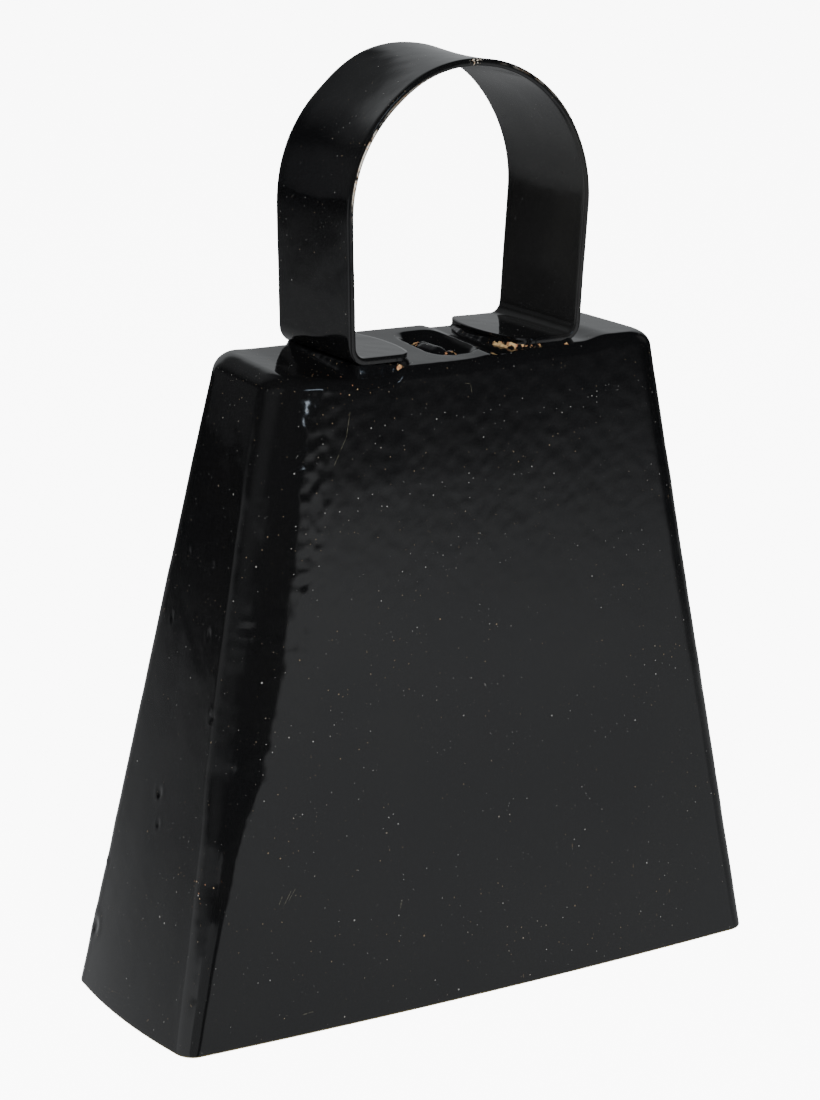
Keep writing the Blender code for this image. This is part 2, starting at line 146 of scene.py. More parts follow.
class Graph:
    """Short ways to build one node tree. Lengths in it are millimetres, in the frame's axes."""

    def __init__(self, tree, generated=False):
        self.tree = tree
        place = self.node("ShaderNodeTexCoord")
        self.place = place.outputs["Generated" if generated else "Object"]
        if not generated:
            self.place = self.scaled(self.place, 1.0 / MM)

    def node(self, kind, **settings):
        node = self.tree.nodes.new(kind)
        for key, value in settings.items():
            setattr(node, key, value)
        return node

    def set(self, socket, value):
        if isinstance(value, bpy.types.NodeSocket):
            self.tree.links.new(value, socket)
        else:
            socket.default_value = value

    def math(self, operation, *values, clamp=False):
        node = self.node("ShaderNodeMath", operation=operation, use_clamp=clamp)
        for socket, value in zip(node.inputs, values):
            self.set(socket, value)
        return node.outputs[0]

    def times(self, value, other):
        return self.math("MULTIPLY", value, other)

    def distance(self, place):
        return self.vector("DISTANCE", self.place, place)

    def vector(self, operation, *values):
        node = self.node("ShaderNodeVectorMath", operation=operation)
        for socket, value in zip(node.inputs, values):
            self.set(socket, value)
        return node.outputs["Value" if operation in ("LENGTH", "DOT_PRODUCT", "DISTANCE") else "Vector"]

    def scaled(self, vector, share):
        node = self.node("ShaderNodeVectorMath", operation="SCALE")
        self.set(node.inputs["Vector"], vector)
        self.set(node.inputs["Scale"], share)
        return node.outputs["Vector"]

    def axis(self, name, place=None):
        node = self.node("ShaderNodeSeparateXYZ")
        self.set(node.inputs[0], self.place if place is None else place)
        return node.outputs[name]

    def ramp(self, value, low, high, start=0.0, end=1.0):
        """Eased step: start below low, end above high."""
        node = self.node("ShaderNodeMapRange", interpolation_type="SMOOTHSTEP")
        names = ("Value", "From Min", "From Max", "To Min", "To Max")
        for name, setting in zip(names, (value, low, high, start, end)):
            self.set(node.inputs[name], setting)
        return node.outputs[0]

    def cone(self, direction, axis, inner, outer, inside, outside):
        """The value inside up to the inner angle from the axis, eased to outside at the outer angle."""
        aligned = self.vector("DOT_PRODUCT", direction, axis)
        return self.ramp(aligned, math.cos(math.radians(outer)), math.cos(math.radians(inner)), outside, inside)

    def noise(self, wavelength, detail=2.0, squash=(1, 1, 1), shift=(0, 0, 0), roughness=0.5):
        moved = self.node("ShaderNodeMapping")
        self.set(moved.inputs["Vector"], self.place)
        moved.inputs["Scale"].default_value = squash
        moved.inputs["Location"].default_value = shift
        node = self.node("ShaderNodeTexNoise")
        self.set(node.inputs["Vector"], moved.outputs[0])
        node.inputs["Scale"].default_value = 1.0 / wavelength
        node.inputs["Detail"].default_value = detail
        node.inputs["Roughness"].default_value = roughness
        return node.outputs["Fac"]

    def mix(self, share, low, high):
        node = self.node("ShaderNodeMix", data_type="RGBA")
        self.set(node.inputs[0], share)
        self.set(node.inputs[6], (*low, 1.0) if isinstance(low, tuple) else low)
        self.set(node.inputs[7], (*high, 1.0) if isinstance(high, tuple) else high)
        return node.outputs[2]

    def specks(self, spacing, small, large, shift=(0, 0, 0), squash=(1, 1, 1)):
        """Scattered specks of random radius: their mask, and a random number for each."""
        moved = self.node("ShaderNodeMapping")
        self.set(moved.inputs["Vector"], self.place)
        moved.inputs["Location"].default_value = shift
        moved.inputs["Scale"].default_value = squash
        cells = self.node("ShaderNodeTexVoronoi")
        self.set(cells.inputs["Vector"], moved.outputs[0])
        cells.inputs["Scale"].default_value = 1.0 / spacing
        away = self.math("MULTIPLY", cells.outputs["Distance"], spacing)
        chance = self.axis("X", cells.outputs["Color"])
        other = self.axis("Y", cells.outputs["Color"])
        radius = self.math("MULTIPLY_ADD", self.math("POWER", chance, 3.0), large - small, small)
        return self.ramp(away, self.math("MULTIPLY", radius, 0.55), radius, 1.0, 0.0), other

    def stroke(self, start, end, width):
        """Mask of a thin straight mark from start to end, in the X-Z plane, on the front."""
        along = Vector((end[0] - start[0], 0.0, end[1] - start[1]))
        flat = self.vector("MULTIPLY", self.place, (1.0, 0.0, 1.0))
        offset = self.vector("SUBTRACT", flat, (start[0], 0.0, start[1]))
        projected = self.vector("DOT_PRODUCT", offset, tuple(along))
        share = self.math("DIVIDE", projected, along.length_squared, clamp=True)
        away = self.vector("DISTANCE", offset, self.scaled(tuple(along), share))
        return self.ramp(away, width * 0.4, width, 1.0, 0.0)

    def most(self, masks):
        total = masks[0]
        for mask in masks[1:]:
            total = self.math("MAXIMUM", total, mask)
        return total


# What the paint mirrors of the floor, apart from the even floor that the camera sees. Millimetres and degrees.
FLOOR_RADIUS = 3.0                        # of the disc itself, in metres
FLOOR_DROP = 0.0002
FLOOR_SEEN = 8.1                          # strength that only the camera sees
FLOOR_STRENGTH = 0.7
GLOW_CENTRE = (140.0, -210.0, 0.0)
GLOW_REACH = 445.0
GLOW_STRENGTH = 0.70
LEFT_CORNER = (50.0, 17.0, 0.0)           # what takes the front left corner of the mouth to the origin
DARK_AZIMUTH = 253.5                      # the dark zone in front of that corner
DARK_ANGLES = (34.0, 42.0)
DARK_LEFT = 0.06
LIT_START = (52.0, 150.0, 0.0)            # the lit ground to the left of the dark zone
LIT_SIDE = (-0.848, 0.53, 0.0)
LIT_EDGE = (-25.0, 15.0)
LIT_STRENGTH = 0.38
LIT_AZIMUTH = 205.0
LIT_ANGLES = (62.0, 72.0)
RIGHT_CORNER = (45.0, -14.0, 0.0)         # the dimmer ground beyond the front right corner
RIGHT_SIDE = (1.0, 0.09, 0.0)
RIGHT_ANGLES = (36.0, 50.0)
RIGHT_LEFT = 0.6
FAR_GROUND = (220.0, 480.0)               # where the slow change from left to right sets in
STREAK_AZIMUTH = 291.0                    # narrow and bright, far away
STREAK_ANGLES = (0.8, 2.2)
STREAK_STRENGTH = 0.22
STREAK_GROUND = (700.0, 1100.0)
# Fainter patches: centre, inner and outer radius, strength.
FLOOR_PATCHES = (((-240.0, 350.0), 60.0, 230.0, 0.10), ((-700.0, -80.0), 350.0, 640.0, 0.12),
                 ((185.0, -105.0), 30.0, 190.0, -0.09))

WORLD_BASE = (0.010, 0.0105, 0.012)
WORLD_SEEN = (8.8, 8.8, 8.8)              # what only the camera sees of the world
COOL_WHITE = (0.95, 0.98, 1.0)
# Soft lights of the studio: azimuth and elevation, inner and outer angle in degrees, strength, colour.
LOBES = (((92.0, 30.0), 5.0, 26.0, 0.14, COOL_WHITE),
         ((195.0, 26.0), 12.0, 36.0, 0.16, COOL_WHITE),
         ((350.0, 22.0), 8.0, 24.0, 0.16, (1.0, 0.98, 0.95)),
         ((287.0, 5.0), 1.0, 3.4, 10.0, (0.75, 0.87, 1.0)),
         ((285.0, 12.0), 1.5, 4.2, 6.0, (0.62, 0.8, 1.0)),
         ((120.0, 7.0), 4.0, 14.0, 0.08, COOL_WHITE))
# Standing panels: azimuth, inner and outer angle to the side, lower and upper edge, strength.
PANELS = ((66.0, 26.0, 40.0, 24.0, 35.0, 0.42), (182.0, 38.0, 52.0, -1.0, 4.0, 0.34))
KEY_PLACE = (-0.45, -0.75, 0.95)
KEY_TARGET = (0.0, 0.0, 0.05)
KEY_SIZE = (0.9, 0.9)
KEY_POWER = 30.0


def heading(azimuth, elevation=0.0):
    """Unit vector towards an azimuth and an elevation in degrees."""
    azimuth, elevation = math.radians(azimuth), math.radians(elevation)
    return (math.cos(azimuth) * math.cos(elevation), math.sin(azimuth) * math.cos(elevation), math.sin(elevation))


def mirrored_floor(g):
    """Strength of the floor as the paint mirrors it: a wide glow with darker and lighter zones."""
    away = g.math("DIVIDE", g.distance(GLOW_CENTRE), GLOW_REACH)
    mirrored = g.math("DIVIDE", GLOW_STRENGTH, g.math("ADD", g.math("POWER", away, 3.0), 1.0))
    offset = g.vector("NORMALIZE", g.vector("ADD", g.place, LEFT_CORNER))
    mirrored = g.times(mirrored, g.cone(offset, heading(DARK_AZIMUTH), *DARK_ANGLES, DARK_LEFT, 1.0))
    beside = g.vector("DOT_PRODUCT", g.vector("ADD", g.place, LIT_START), LIT_SIDE)
    lit = g.ramp(beside, *LIT_EDGE, 0.0, LIT_STRENGTH)
    sector = g.cone(offset, heading(LIT_AZIMUTH), *LIT_ANGLES, 1.0, 0.0)
    mirrored = g.math("MULTIPLY_ADD", lit, sector, mirrored)
    right = g.vector("NORMALIZE", g.vector("SUBTRACT", g.place, RIGHT_CORNER))
    mirrored = g.times(mirrored, g.cone(right, RIGHT_SIDE, *RIGHT_ANGLES, RIGHT_LEFT, 1.0))
    tilt = g.ramp(g.vector("DOT_PRODUCT", offset, heading(DARK_AZIMUTH)), 0.42, 0.70, 0.86, 1.12)
    to_right = g.ramp(g.vector("DOT_PRODUCT", offset, heading(DARK_AZIMUTH + 90.0)), 0.90, 0.975, 1.0, 0.35)
    tilt = g.math("SUBTRACT", g.times(tilt, to_right), 1.0)
    distance = g.vector("LENGTH", g.place)
    tilt = g.math("MULTIPLY_ADD", tilt, g.ramp(distance, *FAR_GROUND), 1.0)
    mirrored = g.times(mirrored, tilt)
    for centre, inner, outer, strength in FLOOR_PATCHES:
        patch = g.ramp(g.distance((*centre, 0.0)), inner, outer, strength, 0.0)
        mirrored = g.math("ADD", mirrored, patch)
    streak = g.cone(offset, heading(STREAK_AZIMUTH), *STREAK_ANGLES, STREAK_STRENGTH, 0.0)
    return g.math("MULTIPLY_ADD", streak, g.ramp(distance, *STREAK_GROUND), mirrored)


def make_floor():
    """Pale floor, lit evenly to the camera. To the paint it is the dimmer one of mirrored_floor."""
    bpy.ops.mesh.primitive_circle_add(vertices=96, radius=FLOOR_RADIUS, fill_type="NGON",
                                      location=(0, 0, -FLOOR_DROP))
    floor = bpy.context.object
    floor.name = "floor"
    material = bpy.data.materials.new("pale_floor")
    material.use_nodes = True
    material.node_tree.nodes.clear()
    g = Graph(material.node_tree)
    ray = g.node("ShaderNodeLightPath")
    glow = g.node("ShaderNodeEmission")
    seen = g.math("MULTIPLY_ADD", ray.outputs["Is Camera Ray"], FLOOR_SEEN, FLOOR_STRENGTH)
    g.set(glow.inputs["Strength"], seen)
    diffuse = g.node("ShaderNodeBsdfDiffuse")
    diffuse.inputs["Color"].default_value = (0.86, 0.86, 0.86, 1)
    mirror_glow = g.node("ShaderNodeEmission")
    mirror_glow.inputs["Color"].default_value = (0.96, 0.98, 1.0, 1)
    g.set(mirror_glow.inputs["Strength"], mirrored_floor(g))
    lit = g.node("ShaderNodeAddShader")
    g.set(lit.inputs[0], glow.outputs[0])
    g.set(lit.inputs[1], diffuse.outputs[0])
    choice = g.node("ShaderNodeMixShader")
    g.set(choice.inputs[0], ray.outputs["Is Glossy Ray"])
    g.set(choice.inputs[1], lit.outputs[0])
    g.set(choice.inputs[2], mirror_glow.outputs[0])
    out = g.node("ShaderNodeOutputMaterial")
    g.set(out.inputs["Surface"], choice.outputs[0])
    floor.data.materials.append(material)


def make_light():
    """Dim world with soft lights and panels in it, even and bright to the camera, and one soft box."""
    world = bpy.data.worlds.new("studio")
    world.use_nodes = True
    g = Graph(world.node_tree, generated=True)
    total = WORLD_BASE
    for direction, inner, outer, strength, colour in LOBES:
        share = g.cone(g.place, heading(*direction), inner, outer, strength, 0.0)
        total = g.vector("ADD", total, g.scaled(colour, share))
    level = g.vector("NORMALIZE", g.vector("MULTIPLY", g.place, (1.0, 1.0, 0.0)))
    for azimuth, inner, outer, low, high, strength in PANELS:
        across = g.cone(level, heading(azimuth), inner, outer, 1.0, 0.0)
        upright = g.ramp(g.axis("Z"), math.sin(math.radians(high)), math.sin(math.radians(low)), 0.0, strength)
        total = g.vector("ADD", total, g.scaled(COOL_WHITE, g.times(across, upright)))
    ray = g.node("ShaderNodeLightPath")
    total = g.mix(ray.outputs["Is Camera Ray"], total, WORLD_SEEN)
    g.set(world.node_tree.nodes["Background"].inputs["Color"], total)
    bpy.context.scene.world = world
    key = soft_box("key_box", KEY_PLACE, KEY_TARGET, KEY_SIZE, KEY_POWER)
    key.visible_glossy = False


# ---------------------------------------------------------------- mesh helpers

def wave_noise(points, wavelength, seed, waves=28):
    """Smooth noise, mostly between -1 and 1: plane waves in random directions, added up."""
    random = np.random.default_rng(seed)
    directions = random.normal(size=(waves, 3))
    directions /= np.linalg.norm(directions, axis=1)[:, None]
    rates = 2 * math.pi / wavelength * random.uniform(0.6, 1.5, waves)
    phases = random.uniform(0, 2 * math.pi, waves)
    return np.sin(points @ (directions * rates[:, None]).T + phases).sum(axis=1) / math.sqrt(2 * waves)


def ease(f):
    f = np.clip(f, 0.0, 1.0)
    return f * f * (3.0 - 2.0 * f)


def grid_mesh(name, rings, closed=False, weld=0.0):
    """Mesh of quads between equal rings, an array (rings, columns, 3) in mm. Ends are capped or closed."""
    count, columns, _ = rings.shape
    index = np.arange(count * columns).reshape(count, columns)
    low = index if closed else index[:-1]
    high = np.roll(index, -1, axis=0) if closed else index[1:]
    quads = np.stack([low, np.roll(low, -1, axis=1), np.roll(high, -1, axis=1), high], axis=-1).reshape(-1, 4)
    faces = quads.tolist()
    if not closed and not weld:
        faces += [index[0].tolist(), index[-1].tolist()]
    mesh = bpy.data.meshes.new(name)
    mesh.from_pydata((rings.reshape(-1, 3) * MM).tolist(), [], faces)
    bm = bmesh.new()
    bm.from_mesh(mesh)
    if weld:
        bmesh.ops.remove_doubles(bm, verts=bm.verts, dist=weld * MM)
    bmesh.ops.recalc_face_normals(bm, faces=bm.faces)
    bm.to_mesh(mesh)
    bm.free()
    mesh.shade_smooth()
    return mesh


def points_of(mesh, what="co"):
    flat = np.empty(len(mesh.vertices) * 3, np.float32)
    if what == "co":
        mesh.vertices.foreach_get("co", flat)
        return flat.reshape(-1, 3).astype(float) / MM
    mesh.vertex_normals.foreach_get("vector", flat)
    return flat.reshape(-1, 3).astype(float)


def move_points(mesh, points):
    mesh.vertices.foreach_set("co", (points * MM).astype(np.float32).ravel())
    mesh.update()


def roughen(mesh, shift_at):
    """Move each point along its normal by shift_at(points)."""
    points, normals = points_of(mesh), points_of(mesh, "normal")
    move_points(mesh, points + normals * shift_at(points)[:, None])


def add_piece(name, mesh, material, body, node):
    obj = bpy.data.objects.new(name, mesh)
    bpy.context.scene.collection.objects.link(obj)
    mesh.materials.append(material)
    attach(obj, body)
    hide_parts(node)


# ---------------------------------------------------------------- bell body

WIDE_COLUMNS = 130
LEFT_COLUMNS = 88
RIGHT_COLUMNS = 44
CORNER_COLUMNS = 14
CORNER_SHARES = (0.92, 0.25)              # of ROUND_CORNER, along the wide and along the narrow face


def make_columns():
    """Where each column of the body's mesh lies: from corner a to corner b, how far, and facing which way."""
    corners = ((1, 1), (-1, 1), (-1, -1), (1, -1))
    steps = (WIDE_COLUMNS, LEFT_COLUMNS, WIDE_COLUMNS, RIGHT_COLUMNS)
    rows = []
    for quarter in range(4):
        a, b = corners[quarter], corners[(quarter + 1) % 4]
        for step in range(CORNER_COLUMNS + 1):
            rows.append((*a, *a, 0.0, math.pi / 2 * (quarter + step / CORNER_COLUMNS)))
        for step in range(1, steps[quarter]):
            rows.append((*a, *b, step / steps[quarter], math.pi / 2 * (quarter + 1)))
    return np.array(rows).T


COLUMNS = make_columns()
FOLDS = FOLD_RADII[0] * np.cos(COLUMNS[5]) ** 2 + FOLD_RADII[1] * np.sin(COLUMNS[5]) ** 2
AT_FRONT_LEFT = (((COLUMNS[0] < 0) & (COLUMNS[1] < 0)) * (1.0 - COLUMNS[4])
                 + ((COLUMNS[2] < 0) & (COLUMNS[3] < 0)) * COLUMNS[4])


def eased_line(line, x):
    """Value at x of a line of (x, value) points, eased between them."""
    xs, values = line.T
    i = np.clip(np.searchsorted(xs, x) - 1, 0, len(xs) - 2)
    return values[i] + (values[i + 1] - values[i]) * ease((x - xs[i]) / (xs[i + 1] - xs[i]))


def body_ring(z, inset):
    """The body's outline moved inwards by inset, at height z. Both may differ from column to column."""
    f = (z / BODY_HEIGHT) * np.ones(len(FOLDS))
    fade = np.maximum(0.0, 1.0 - f) ** 2
    half = MOUTH_HALF[:, None] + (TOP_HALF - MOUTH_HALF)[:, None] * f - inset
    radius = MOUTH_CORNER_RADIUS + (TOP_CORNER_RADIUS - MOUTH_CORNER_RADIUS) * f - inset * 0.6
    radius = np.minimum(np.maximum(radius, 0.2), np.maximum(half[1], 0.0))
    extra = eased_line(ROUND_CORNER, z) * AT_FRONT_LEFT
    wide, deep = (radius + share * extra for share in CORNER_SHARES)
    ax, ay, bx, by, along, angle = COLUMNS
    out_x, out_y = np.cos(angle), np.sin(angle)
    crown = 4 * along * (1 - along) * fade * (FACE_BULGE[0] * abs(out_x) + FACE_BULGE[1] * abs(out_y))
    x = (ax + (bx - ax) * along) * (half[0] - wide) + (wide + crown) * out_x
    y = (ay + (by - ay) * along) * (half[1] - deep) + (deep + crown) * out_y
    return np.stack([x, y, f * BODY_HEIGHT], axis=1)


def skin_rings(offset, wall_steps, fold_steps, top_steps):
    """Rings of one side of the sheet, from the mouth up the walls, over the fold, to the top's middle line."""
    fold = np.maximum(FOLDS - offset, 0.3)
    top = BODY_HEIGHT - offset
    rings = []
    for step in range(4):
        angle = math.pi / 2 * step / 4
        rounding = RIM_ROUNDING * (1 - math.sin(angle))
        rings.append(body_ring(RIM_ROUNDING * (1 - math.cos(angle)),
                               offset + (rounding if offset == 0 else -rounding)))
    for share in np.linspace(0.0, 1.0, wall_steps):
        rings.append(body_ring(RIM_ROUNDING + (top - fold - RIM_ROUNDING) * share, offset))
    for step in range(1, fold_steps + 1):
        angle = math.pi / 2 * step / fold_steps
        rings.append(body_ring(top - fold + fold * math.sin(angle), offset + fold * (1 - math.cos(angle))))
    middle = MOUTH_HALF[1] + (TOP_HALF[1] - MOUTH_HALF[1]) * top / BODY_HEIGHT
    for step in range(1, top_steps + 1):
        rings.append(body_ring(top, offset + fold + (middle - offset - fold) * step / top_steps))
    return rings


def foot_end_shift(v):
    """How far a foot's end is drawn back at v, from -1 to 1 across the strap."""
    corner = np.clip((abs(v) - 0.78) / 0.22, 0.0, 1.0)
    return 2.2 * v * v + 1.9 * (1.0 - np.sqrt(1.0 - corner * corner * 0.98))


def top_shape(x, y):
    """The top's unevenness: its line from left to right, the part between the feet that stands higher, its
    left side following the left foot's end, and the slope of the left half towards the front."""
    across = np.clip((y - HANDLE_OFFSET[1]) * 2 / STRAP_WIDTH, -1, 1)
    end = HANDLE_OFFSET[0] - FOOT_END_X - foot_end_shift(across)
    raised = ease((x - end + 1.5) / 1.3) * ease((5.2 - x) / 2.2)
    lean = TOP_LEAN * ease((14.0 - x) / 16.0) * (1.0 - 0.35 * ease((-20.0 - x) / 10.0))
    return eased_line(TOP_LINE, x) + raised - lean * np.clip(9.5 - y, 0.0, 19.0)


def pocket_drop(points, growth):
    """How far the pressed pocket takes the sheet down. Its far wall slopes more gently than the others."""
    near = np.abs(points[:, :2] - POCKET_CENTRE) - (POCKET_HALF + growth - 3.0)
    outside = np.linalg.norm(np.maximum(near, 0.0), axis=1) + np.minimum(near.max(axis=1), 0.0) - 3.0
    wall = 2.0 + 1.8 * ease((points[:, 1] - 1.0) / 5.0) + 0.8 * ease((-1.5 - points[:, 0]) / 2.0)
    rim = 0.5
    return POCKET_DEPTH * (1.0 - ease((outside + wall) / (wall + rim)))


def settle(points, growth):
    """Unevenness of the top, pressed pocket, both fading out down the walls."""
    share = np.clip((points[:, 2] - BODY_HEIGHT + TOP_LINE_REACH) / TOP_LINE_REACH, 0.0, 1.0)
    near_top = ease((points[:, 2] - 90.0) / 4.0)
    points[:, 2] += top_shape(points[:, 0], points[:, 1]) * share - pocket_drop(points, growth) * near_top
    return points


# Marks on the left wall: (y, z, radius, depth), a negative depth standing proud.
LEFT_WALL_PITS = ((4.7, 68.7, 0.45, 0.12), (-2.5, 68.4, 0.45, 0.10), (6.4, 58.7, 0.40, 0.10),
                  (-4.6, 59.0, 0.50, 0.12), (-11.4, 61.2, 0.60, 0.16), (-8.9, 48.0, 0.50, 0.16),
                  (1.0, 34.0, 0.70, 0.16), (-0.2, 29.7, 0.50, 0.15), (13.8, 9.5, 1.10, 0.30),
                  (13.7, 19.5, 0.70, -0.12))
SHELL_DENT = (-28.9, 1.7, 0.30)           # in the front, just under the top: x, half width, depth


def make_shell(material):
    outer = np.array(skin_rings(0.0, 180, 12, 22))
    inner = np.array(skin_rings(SHEET, 40, 6, 14))
    outer = settle(outer.reshape(-1, 3), 0.0).reshape(outer.shape)
    inner = settle(inner.reshape(-1, 3), SHEET).reshape(inner.shape)
    mesh = grid_mesh("bell_shell", np.concatenate([outer[::-1], inner]), weld=0.02)
    points, normals = points_of(mesh), points_of(mesh, "normal")
    x, y, z = points.T
    fade = ease((z - 1.0) / 6.0) * ease((BODY_HEIGHT + 1.0 - z) / 3.0 + 0.3)
    half = MOUTH_HALF + (TOP_HALF - MOUTH_HALF) * (z / BODY_HEIGHT)[:, None]
    at_corner = ease((np.minimum(abs(x) - half[:, 0], abs(y) - half[:, 1]) + 6.0) / 5.0)
    upper = ease((z - 44.0) / 30.0) * ease((y + 5.0) / -4.0)
    shift = (1.0 - 0.75 * upper) * (0.030 * wave_noise(points, 14.0, 1) + 0.010 * wave_noise(points, 5.0, 2))
    dent_x, dent_half, dent_depth = SHELL_DENT
    dent = ease((z - 89.5) / 5.0) * np.exp(-((x - dent_x) / dent_half) ** 2) * ease((y + 8.0) / -2.0)
    shift -= dent_depth * dent
    from_left = abs(x + half[:, 0])
    by_corner = (ease((z - 14.0) / 16.0) * ease((13.0 - from_left) / 4.0) * ease((from_left - 3.0) / 2.0)
                 * ease((y + 5.0) / -4.0))
    shift += at_corner * (0.035 * wave_noise(points * (1, 1, 0.8), 6.5, 3) + 0.008 * wave_noise(points, 2.6, 4))
    shift += (0.0014 + 0.0070 * upper + 0.040 * by_corner) * wave_noise(points, 2.1, 5, 90)
    shift *= fade
    on_left = (normals[:, 0] < -0.6)
    for pit_y, pit_z, radius, depth in LEFT_WALL_PITS:
        away = np.hypot(y - pit_y, z - pit_z) / radius
        shift -= on_left * depth * (np.exp(-away ** 2 * 1.3) - 0.22 * np.exp(-(away - 1.7) ** 2 * 3.0))
    move_points(mesh, points + normals * shift[:, None])
    add_piece("bell_shell", mesh, material, "bell", "bell_body")


# ---------------------------------------------------------------- bent pieces

def trace(start, heading, moves, pitch=0.5):
    """Walk a flat path of lines and arcs, with a point every pitch. An arc's angle is positive to the left."""
    x, z = start
    h = math.radians(heading)
    points = [(x, z, h)]
    for move in moves:
        if move[0] == "line":
            steps = max(1, round(move[1] / pitch))
            for step in range(1, steps + 1):
                share = move[1] * step / steps
                points.append((x + share * math.cos(h), z + share * math.sin(h), h))
            x, z = points[-1][:2]
            continue
        _, radius, angle = move
        turn = math.radians(angle)
        steps = max(6, round(abs(turn) * radius / pitch))
        sign = math.copysign(1.0, angle)
        cx, cz = x - sign * radius * math.sin(h), z + sign * radius * math.cos(h)
        for step in range(1, steps + 1):
            turned = h + turn * step / steps
            points.append((cx + sign * radius * math.sin(turned), cz - sign * radius * math.cos(turned), turned))
        x, z = points[-1][:2]
        h += turn
    return np.array(points)


def bend_wire(name, path, diameter, across, closed=False, sides=20):
    """Round wire along a flat path, in the plane square to the axis across."""
    if closed:
        path = path[:-1]
    angles = 2 * math.pi * np.arange(sides) / sides
    u, z, h = (path[:, k][:, None] for k in range(3))
    out = diameter / 2 * np.cos(angles)[None, :]
    off = np.broadcast_to(diameter / 2 * np.sin(angles)[None, :], (len(path), sides))
    pu = u - out * np.sin(h)
    pz = z + out * np.cos(h)
    if across == "X":
        rings = np.stack([HANGER_CENTRE[0] + off, pu, pz], axis=-1)
    else:
        rings = np.stack([pu, HANGER_CENTRE[1] + off, pz], axis=-1)
    if not closed:
        rings = rounded_ends(rings, diameter)
    return grid_mesh(name, rings, closed)


def rounded_ends(rings, diameter):
    """Two extra, smaller rings at each end, so that a cut wire's edge is broken."""
    def end(ring, neighbour):
        middle = ring.mean(axis=0)
        out = middle - neighbour.mean(axis=0)
        out *= diameter * 0.06 / np.linalg.norm(out)
        return [middle + (ring - middle) * 0.55 + out * 1.6, middle + (ring - middle) * 0.88 + out]
    first, last = end(rings[0], rings[1]), end(rings[-1], rings[-2])
    return np.concatenate([np.array(first), rings, np.array(last[::-1])])


def foot_underside(side):
    """Height of one foot's underside. The filler under it leaves next to no gap."""
    return BODY_HEIGHT + float(eased_line(TOP_LINE, np.array(side * 14.0))) + 0.08


def strap_path():
    """Middle line of the strap in the X-Z plane, from the left foot's end over the arch to the right's."""
    half = STRAP_THICKNESS / 2
    arch_radius = ARCH_OUTER_RADIUS - half
    bend_radius = FOOT_BEND_INNER_RADIUS + half
    leg_top_z = ARCH_CENTRE_Z - arch_radius * math.sin(LEG_LEAN)
    bend = 90.0 - math.degrees(LEG_LEAN)
    foot_z, legs, feet = [], [], []
    for side in (-1, 1):
        z = foot_underside(side) + half
        leg = (leg_top_z - z - bend_radius * (1 - math.sin(LEG_LEAN))) / math.cos(LEG_LEAN)
        bend_x = arch_radius * math.cos(LEG_LEAN) - leg * math.sin(LEG_LEAN) - bend_radius * math.cos(LEG_LEAN)
        foot_z.append(z)
        legs.append(leg)
        feet.append(bend_x - FOOT_END_X)
    moves = [("line", feet[0]), ("arc", bend_radius, -bend), ("line", legs[0]),
             ("arc", arch_radius, -180.0 - 2 * math.degrees(LEG_LEAN)),
             ("line", legs[1]), ("arc", bend_radius, -bend), ("line", feet[1])]
    return trace((-FOOT_END_X, foot_z[0]), 180.0, moves)


def strap_section(inset=0.0):
    """Points (across, outwards) round the strap's section, its edges rounded by paint."""
    half_width = STRAP_WIDTH / 2 - inset
    half = STRAP_THICKNESS / 2 - inset
    corner = max(0.02, min(STRAP_EDGE_ROUNDING, half - 0.02))
    points = []
    columns = np.linspace(-1, 1, 31)
    points += [(c * (half_width - corner), half) for c in columns]
    quarter = [math.pi / 2 * k / 4 for k in range(1, 4)]
    flat, level = half_width - corner, half - corner
    points += [(flat + corner * math.sin(a), level + corner * math.cos(a)) for a in quarter]
    points += [(half_width, level * s) for s in (1.0, -1.0)]
    points += [(flat + corner * math.cos(a), -level - corner * math.sin(a)) for a in quarter]
    points += [(-w, -n) for w, n in points]
    return np.array(points)


def make_handle(material):
    path = strap_path()
    travelled = np.concatenate([[0.0], np.cumsum(np.hypot(*np.diff(path[:, :2], axis=0).T))])
    length = travelled[-1]
    rings = []
    steps = [(0, 0.45), (0, 0.3), (0, 0.12)] + [(i, 0.0) for i in range(len(path))]
    steps += [(len(path) - 1, 0.12), (len(path) - 1, 0.3), (len(path) - 1, 0.45)]
    for i, inset in steps:
        x, z, h = path[i]
        across, out = strap_section(inset).T
        v = across / (STRAP_WIDTH / 2)
        arch = np.clip((z - ARCH_CENTRE_Z + 12.0) / 16.0, 0.0, 1.0)
        lift = out + STRAP_CROSS_CROWN * arch * (v * v - 1.0)
        start_share = ease(1.0 - travelled[i] / 5.0)
        end_share = ease(1.0 - (length - travelled[i]) / 5.0)
        along = foot_end_shift(v) * (start_share - end_share)
        start = CROWN_LIFT_START[0] if x < 0 else CROWN_LIFT_START[1]
        risen = ease(((z - ARCH_CENTRE_Z) / ARCH_OUTER_RADIUS - start) / (0.95 - start))
        risen = risen * (CROWN_LIFT[0] + (CROWN_LIFT[1] - CROWN_LIFT[0]) * (v + 1.0) / 2)
        rings.append(np.stack([HANDLE_OFFSET[0] + x - lift * math.sin(h) + along * math.cos(h),
                               HANDLE_OFFSET[1] + across,
                               z + lift * math.cos(h) + along * math.sin(h) + risen], axis=1))
    mesh = grid_mesh("strap_handle", np.array(rings))
    roughen(mesh, lambda at: 0.03 * wave_noise(at, 12.0, 21) + 0.008 * wave_noise(at, 3.5, 22) - 0.035)
    add_piece("strap_handle", mesh, material, "bell", "handle_strap")


# ---------------------------------------------------------------- clapper and its hanger

def wire_piece(name, path, diameter, across, closed, material, body, node, seed):
    mesh = bend_wire(name, path, diameter, across, closed)
    roughen(mesh, lambda at: 0.02 * wave_noise(at, 5.0, seed) + 0.008 * wave_noise(at, 1.6, seed + 1) - 0.025)
    add_piece(name, mesh, material, body, node)


